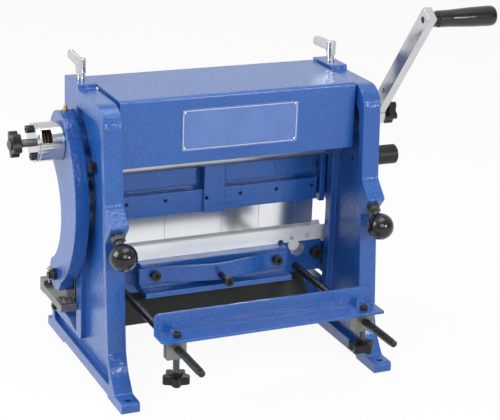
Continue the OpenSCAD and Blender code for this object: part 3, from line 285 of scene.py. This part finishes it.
tree.links.new(bump.outputs["Normal"], skin.inputs["Normal"])
wear(chute_olive, "chute")

# Shaft bushes: bronze sleeves pressed into the frames.
bush_bronze = ground_steel("bush_bronze", "Y", light=(0.62, 0.42, 0.20), dark=(0.42, 0.27, 0.12), gloss=0.34)
wear(bush_bronze, "shaft_bushes")

# Stub on the right frame: a plain round of blackened steel.
stub_black = black_oxide("stub_black", gloss=0.4)
wear(stub_black, "side_stub")

# Rolls: the drive shaft carries the lower roll; the upper roll is geared to it, and the bending roll idles.
# All three are turned and ground.
roll_steel = ground_steel("roll_steel", "Y", light=(0.56, 0.57, 0.58), dark=(0.36, 0.37, 0.38), gloss=0.24)
wear(roll_steel, "drive_shaft", "upper_roll", "bending_roll")


# Bearing blocks: grey milled steel, in pockets of the frames.
def milled_grey(name, base=(0.20, 0.20, 0.205), pale=(0.34, 0.34, 0.34), gloss=0.38):
    finish, tree, skin = new_finish(name)
    place = object_place(tree)
    stain = put(tree, "ShaderNodeTexNoise", Vector=place, Scale=45.0, Detail=5.0, Roughness=0.6)
    cutter = put(tree, "ShaderNodeTexWave", {"wave_type": "BANDS", "bands_direction": "DIAGONAL"}, Vector=place,
                 Scale=180.0, Distortion=2.0, Detail=2.0)
    edge_normal, edge = edge_wear_and_highlight(tree, 0.0007)
    tone = blend_colours(tree, ramp(tree, stain.outputs["Fac"], 0.3, 0.7, 0.0, 1.0), base, pale)
    tone = blend_colours(tree, ramp(tree, edge, 0.0, 1.0, 0.0, 0.7), tone, (0.60, 0.60, 0.59))
    tree.links.new(tone, skin.inputs["Base Color"])
    skin.inputs["Metallic"].default_value = 0.85
    vary_gloss(tree, skin, stain.outputs["Fac"], gloss - 0.08, gloss + 0.12)
    relief(tree, skin, cutter.outputs["Fac"], edge_normal, 0.15, 0.00004)
    return finish


block_grey = milled_grey("block_grey")
wear(block_grey, "roll_blocks")

# Wing screws: chromed, with a forked head and one flat leaf, and a coarse thread above the frame's boss.
# Every thread on the machine is one ridge wound up its stud by the same node tree.
wear(bright_chrome, "wing_screw_left", "wing_screw_right")

thread_tree = bpy.data.node_groups.new("wound_thread", "GeometryNodeTree")
for label, default in (("Stud radius", 0.005), ("Pitch", 0.0015), ("Length", 0.008), ("Ridge", 0.0005)):
    size = thread_tree.interface.new_socket(label, in_out="INPUT", socket_type="NodeSocketFloat")
    size.default_value = default
thread_tree.interface.new_socket("Finish", in_out="INPUT", socket_type="NodeSocketMaterial")
thread_tree.interface.new_socket("Mesh", in_out="OUTPUT", socket_type="NodeSocketGeometry")
given = thread_tree.nodes.new("NodeGroupInput")
turns = thread_tree.nodes.new("ShaderNodeMath")
turns.operation = "DIVIDE"
thread_tree.links.new(given.outputs["Length"], turns.inputs[0])
thread_tree.links.new(given.outputs["Pitch"], turns.inputs[1])
spiral = thread_tree.nodes.new("GeometryNodeCurveSpiral")
spiral.inputs["Resolution"].default_value = 28
thread_tree.links.new(turns.outputs[0], spiral.inputs["Rotations"])
thread_tree.links.new(given.outputs["Stud radius"], spiral.inputs["Start Radius"])
thread_tree.links.new(given.outputs["Stud radius"], spiral.inputs["End Radius"])
thread_tree.links.new(given.outputs["Length"], spiral.inputs["Height"])
ridge = thread_tree.nodes.new("GeometryNodeCurvePrimitiveCircle")
ridge.inputs["Resolution"].default_value = 6
thread_tree.links.new(given.outputs["Ridge"], ridge.inputs["Radius"])
wound = thread_tree.nodes.new("GeometryNodeCurveToMesh")
wound.inputs["Fill Caps"].default_value = True
thread_tree.links.new(spiral.outputs["Curve"], wound.inputs["Curve"])
thread_tree.links.new(ridge.outputs["Curve"], wound.inputs["Profile Curve"])
single = thread_tree.nodes.new("GeometryNodeRealizeInstances")
thread_tree.links.new(wound.outputs["Mesh"], single.inputs["Geometry"])
painted = thread_tree.nodes.new("GeometryNodeSetMaterial")
thread_tree.links.new(single.outputs["Geometry"], painted.inputs["Geometry"])
thread_tree.links.new(given.outputs["Finish"], painted.inputs["Material"])
result = thread_tree.nodes.new("NodeGroupOutput")
thread_tree.links.new(painted.outputs["Geometry"], result.inputs["Mesh"])


RIDGE_RADIUS = 0.00045
RIDGE_SINK = 0.0002
M10_RADIUS = 0.005
M8_RADIUS = 0.004
THREAD_CLEAR = 0.0008


def cut_thread(name, start, direction, radius, length, finish, body, pitch=0.0015):
    """A thread from start along direction, proud of a stud of that radius."""
    blank = bpy.data.objects.new(name + "_blank", bpy.data.meshes.new(name + "_blank"))
    bpy.context.scene.collection.objects.link(blank)
    lathe = blank.modifiers.new("thread", "NODES")
    lathe.node_group = thread_tree
    sizes = {"Stud radius": radius - RIDGE_SINK, "Pitch": pitch, "Length": length, "Ridge": RIDGE_RADIUS,
             "Finish": finish}
    for item in thread_tree.interface.items_tree:
        if item.item_type == "SOCKET" and item.in_out == "INPUT":
            lathe[item.identifier] = sizes[item.name]
    bpy.context.view_layer.update()
    wound_mesh = bpy.data.meshes.new_from_object(blank.evaluated_get(bpy.context.evaluated_depsgraph_get()))
    blank.modifiers.remove(lathe)
    bpy.data.objects.remove(blank)
    turn = Vector((0, 0, 1)).rotation_difference(Vector(direction)).to_matrix().to_4x4()
    wound_mesh.transform(Matrix.Translation(Vector(start)) @ turn)
    wound_mesh.name = name
    for face in wound_mesh.polygons:
        face.use_smooth = True
    thread = bpy.data.objects.new(name, wound_mesh)
    bpy.context.scene.collection.objects.link(thread)
    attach(thread, body)
    return thread


WING_THREAD = 0.0078
boss_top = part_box("left_frame")[1].z
for side in ("left", "right"):
    low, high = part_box("roll_blocks")
    wing_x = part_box(side + "_frame")[0].x / 2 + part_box(side + "_frame")[1].x / 2
    foot = (wing_x, (low.y + high.y) / 2, boss_top + THREAD_CLEAR)
    cut_thread("wing_thread_" + side, foot, (0, 0, 1), M10_RADIUS, WING_THREAD, bright_chrome, "wing_" + side)

# Ball knobs: moulded black balls on short threaded studs, with a hex nut against the nose of each frame.
BLACK_MOULDING = (0.006, 0.006, 0.0065)


def moulding(name, base=BLACK_MOULDING, gloss=0.25, coat=0.3):
    finish, tree, skin = new_finish(name)
    place = object_place(tree)
    flow = put(tree, "ShaderNodeTexNoise", Vector=place, Scale=80.0, Detail=4.0)
    pit = put(tree, "ShaderNodeTexNoise", Vector=place, Scale=1400.0, Detail=1.0)
    edge_normal, edge = edge_wear_and_highlight(tree, 0.0010)
    tone = blend_colours(tree, ramp(tree, flow.outputs["Fac"], 0.3, 0.7, 0.0, 1.0), base,
                         tuple(c * 1.8 for c in base))
    tone = blend_colours(tree, ramp(tree, edge, 0.0, 1.0, 0.0, 0.5), tone, tuple(c * 4 + 0.01 for c in base))
    tree.links.new(tone, skin.inputs["Base Color"])
    vary_gloss(tree, skin, flow.outputs["Fac"], gloss - 0.05, gloss + 0.08)
    relief(tree, skin, pit.outputs["Fac"], edge_normal, 0.12, 0.00004)
    skin.inputs["Specular IOR Level"].default_value = 0.25
    skin.inputs["Coat Weight"].default_value = coat
    skin.inputs["Coat Roughness"].default_value = 0.08
    return finish


ball_moulding = moulding("ball_moulding", gloss=0.2, coat=0.5)
wear(ball_moulding, "ball_knob_left", "ball_knob_right")
stud_black = black_oxide("stud_black", base=(0.03, 0.03, 0.032), rub=(0.35, 0.35, 0.35), gloss=0.3)
wear(stud_black, "ball_stud_left", "ball_stud_right")
NUT_HEIGHT = 0.0086
BALL_THREAD = 0.0052
ball_way = Vector((0, -0.7643, -0.6449))
for side, nose in (("left", Vector((-0.177, -0.097, 0.21485))), ("right", Vector((0.177, -0.097, 0.21485)))):
    cut_thread("ball_thread_" + side, nose + ball_way * NUT_HEIGHT, ball_way, M10_RADIUS, BALL_THREAD, stud_black,
               "ball_" + side)

# Eccentrics: chromed bosses on the shaft's ends, with a bolted end plate on the left one.
# The left boss is hollow and has a window over the brown clutch spring.
wear(bright_chrome, "eccentric_left", "eccentric_right", "end_plate")
wear(bolt_black, "end_plate_screws")
spring_brown = black_oxide("spring_brown", base=(0.085, 0.042, 0.020), rub=(0.30, 0.20, 0.12), gloss=0.36)
wear(spring_brown, "clutch_spring")

# Clutch: a grey rod through the end plate, drawn out by a moulded star knob. Its outer end is threaded.
rod_grey = milled_grey("rod_grey", base=(0.10, 0.10, 0.105), pale=(0.20, 0.20, 0.20), gloss=0.32)
wear(rod_grey, "clutch_rod")
star_moulding = moulding("star_moulding", gloss=0.30, coat=0.15)
wear(star_moulding, "clutch_knob")
CLUTCH_THREAD = 0.0065
knob_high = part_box("clutch_knob")[1]
rod_low, rod_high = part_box("clutch_rod")
shaft_y, shaft_z = (rod_low.y + rod_high.y) / 2, (rod_low.z + rod_high.z) / 2
cut_thread("clutch_thread", (knob_high.x, shaft_y, shaft_z), (1, 0, 0), M10_RADIUS, CLUTCH_THREAD, rod_grey,
           "clutch")

# Arms: C-shaped castings that hang from the eccentrics and lift the beam, bent forward clear of the throat.
# Each has a brass grease nipple on its hub, and a black pin with a split pin through its foot.
wear(casting_enamel, "arm_left", "arm_right")
nipple_brass = ground_steel("nipple_brass", "Y", light=(0.70, 0.48, 0.16), dark=(0.48, 0.30, 0.08), gloss=0.22)
wear(nipple_brass, "grease_nipples")
wear(bolt_black, "arm_pins")
split_steel = milled_grey("split_steel", base=(0.28, 0.28, 0.29), pale=(0.45, 0.45, 0.45))
wear(split_steel, "split_pins")

# Links: milled grey bars, one on each end of the beam, that the arm pins pull on.
link_grey = milled_grey("link_grey", base=(0.17, 0.165, 0.155), pale=(0.32, 0.315, 0.30), gloss=0.33)
wear(link_grey, "beam_links")
wear(bolt_black, "link_bolts")

# Lower beam: the moving casting, with the ground brake die along its top and the upper blade on its back.
# The bowed bar on its front takes the sag out of the beam and is drawn up by socket screws.
wear(casting_enamel, "lower_beam", "crown_bar")
die_steel = ground_steel("die_steel", "X", light=(0.95, 0.97, 0.97), dark=(0.82, 0.84, 0.84), gloss=0.38,
                         metal=0.35, tooth=0.1)
wear(die_steel, "brake_die")
wear(blade_steel, "upper_blade")
wear(bolt_black, "beam_screws")

# Stop: an enamelled angle on two grey blocks that slide on black rods, clamped from below by star knobs.
rod_black = black_oxide("rod_black", base=(0.016, 0.016, 0.017), gloss=0.26)
wear(rod_black, "stop_rods")
wear(sheet_enamel, "stop_angle")
stop_grey = milled_grey("stop_grey", base=(0.15, 0.15, 0.14), pale=(0.27, 0.27, 0.255), gloss=0.34)
wear(stop_grey, "stop_blocks")
wear(bolt_black, "stop_screws")
wear(star_moulding, "stop_knob_left", "stop_knob_right")
STOP_KNOB_HEIGHT = 0.0162
STOP_PITCH = 0.00125
ROD_RADIUS = 0.005
block_low, block_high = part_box("stop_blocks")
stud_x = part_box("stop_rods")[1].x - ROD_RADIUS
for side, x in (("left", -stud_x), ("right", stud_x)):
    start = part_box("stop_knob_" + side)[0].z + STOP_KNOB_HEIGHT
    cut_thread("stop_thread_" + side, (x, (block_low.y + block_high.y) / 2, start), (0, 0, 1), M8_RADIUS,
               block_low.z - THREAD_CLEAR - start, rod_grey, "stop_clamp_" + side, pitch=STOP_PITCH)

# Crank: a chromed flat bar clamped on the shaft by a star knob, with a dark turned grip on a shouldered pin.
wear(bright_chrome, "crank_arm")
wear(bolt_black, "grip_pin")
wear(star_moulding, "crank_knob")
CRANK_THREAD = 0.0052
CRANK_CLEAR = 0.0006
crank_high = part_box("crank_arm")[1].x
cut_thread("crank_thread", (crank_high + CRANK_CLEAR, shaft_y, shaft_z), (1, 0, 0), M10_RADIUS, CRANK_THREAD,
           rod_grey, "crank_clamp")
grip_moulding = moulding("grip_moulding", base=(0.009, 0.007, 0.0065), gloss=0.2, coat=0.6)
wear(grip_moulding, "crank_grip")

# Stage: a pale floor, three large softboxes and a small one, and the camera where the photographer stood.
floor_mesh = bpy.data.meshes.new("floor")
reach = 6.0
corners = [(-reach, -reach, 0), (reach, -reach, 0), (reach, reach, 0), (-reach, reach, 0)]
floor_mesh.from_pydata(corners, [], [(0, 1, 2, 3)])
floor = bpy.data.objects.new("floor", floor_mesh)
bpy.context.scene.collection.objects.link(floor)
pale_floor = bpy.data.materials.new("pale_floor")
pale_floor.use_nodes = True
tree = pale_floor.node_tree
tree.nodes.clear()
matt = put(tree, "ShaderNodeBsdfDiffuse", Color=(0.86, 0.86, 0.86, 1))
lit = put(tree, "ShaderNodeEmission", Color=(1, 1, 1, 1), Strength=1.0)
paths = put(tree, "ShaderNodeLightPath")
seen = put(tree, "ShaderNodeMath", {"operation": "MAXIMUM"})
tree.links.new(paths.outputs["Is Camera Ray"], seen.inputs[0])
tree.links.new(paths.outputs["Is Glossy Ray"], seen.inputs[1])
share = put(tree, "ShaderNodeMath", {"operation": "MULTIPLY"})
tree.links.new(seen.outputs[0], share.inputs[0])
share.inputs[1].default_value = 0.93
mixed = put(tree, "ShaderNodeMixShader", Fac=share.outputs[0])
tree.links.new(matt.outputs[0], mixed.inputs[1])
tree.links.new(lit.outputs[0], mixed.inputs[2])
put(tree, "ShaderNodeOutputMaterial", Surface=mixed.outputs[0])
floor_mesh.materials.append(pale_floor)

world = bpy.data.worlds.new("studio")
bpy.context.scene.world = world
world.use_nodes = True
tree = world.node_tree
tree.nodes.clear()
paths = put(tree, "ShaderNodeLightPath")
seen = put(tree, "ShaderNodeMath", {"operation": "MAXIMUM"})
tree.links.new(paths.outputs["Is Camera Ray"], seen.inputs[0])
tree.links.new(paths.outputs["Is Transmission Ray"], seen.inputs[1])
room = put(tree, "ShaderNodeTexCoord")
heading = put(tree, "ShaderNodeSeparateXYZ", Vector=room.outputs["Generated"])
rise = put(tree, "ShaderNodeMath", {"operation": "MULTIPLY_ADD"})
tree.links.new(heading.outputs["Z"], rise.inputs[0])
rise.inputs[1].default_value = 0.8
tree.links.new(heading.outputs["Y"], rise.inputs[2])
curtain = ramp(tree, rise.outputs[0], -0.6, 0.7, 0.20, 0.92)
mirror_room = put(tree, "ShaderNodeBackground", Strength=curtain)
mirror_room.inputs["Color"].default_value = (0.95, 0.97, 1.0, 1)
dim_room = put(tree, "ShaderNodeBackground", Strength=0.19)
dim_room.inputs["Color"].default_value = (0.93, 0.96, 1.0, 1)
white_room = put(tree, "ShaderNodeBackground", Strength=1.0)
white_room.inputs["Color"].default_value = (1, 1, 1, 1)
gloss_or_dim = put(tree, "ShaderNodeMixShader", Fac=paths.outputs["Is Glossy Ray"])
tree.links.new(dim_room.outputs[0], gloss_or_dim.inputs[1])
tree.links.new(mirror_room.outputs[0], gloss_or_dim.inputs[2])
whole = put(tree, "ShaderNodeMixShader", Fac=seen.outputs[0])
tree.links.new(gloss_or_dim.outputs[0], whole.inputs[1])
tree.links.new(white_room.outputs[0], whole.inputs[2])
put(tree, "ShaderNodeOutputWorld", Surface=whole.outputs[0])


def softbox(name, place, aim, width, height, power):
    lamp = bpy.data.lights.new(name, "AREA")
    lamp.shape = "RECTANGLE"
    lamp.size = width
    lamp.size_y = height
    lamp.energy = power
    holder = bpy.data.objects.new(name, lamp)
    facing = (Vector(aim) - Vector(place)).to_track_quat("-Z", "Y").to_matrix().to_4x4()
    holder.matrix_world = Matrix.Translation(Vector(place)) @ facing
    bpy.context.scene.collection.objects.link(holder)


softbox("left_box", (-2.3, 0.3, 1.4), (0, 0, 0.2), 1.6, 1.4, 53)
softbox("top_box", (0.2, -0.5, 2.4), (0, 0, 0.2), 1.8, 1.2, 22)
softbox("front_box", (-0.4, -2.6, 1.5), (0, 0, 0.2), 1.5, 1.2, 27)
softbox("glint_box", (1.05, -2.3, 0.95), (0, 0, 0.2), 0.6, 0.5, 21)

lens = bpy.data.cameras.new("photo_camera")
lens.sensor_fit = "HORIZONTAL"
lens.sensor_width = 36.0
lens.lens = 113.46
lens.clip_start = 0.05
lens.clip_end = 50.0
camera = bpy.data.objects.new("photo_camera", lens)
right = Vector((0.91229, -0.40806, 0.03481))
up = Vector((0.10328, 0.31147, 0.94463))
back = Vector((-0.39631, -0.85818, 0.32630))
camera.matrix_world = Matrix((
    (right.x, up.x, back.x, -0.78858),
    (right.y, up.y, back.y, -1.80513),
    (right.z, up.z, back.z, 0.87853),
    (0, 0, 0, 1)))
bpy.context.scene.collection.objects.link(camera)
bpy.context.scene.camera = camera
bpy.context.scene.view_settings.view_transform = "Standard"
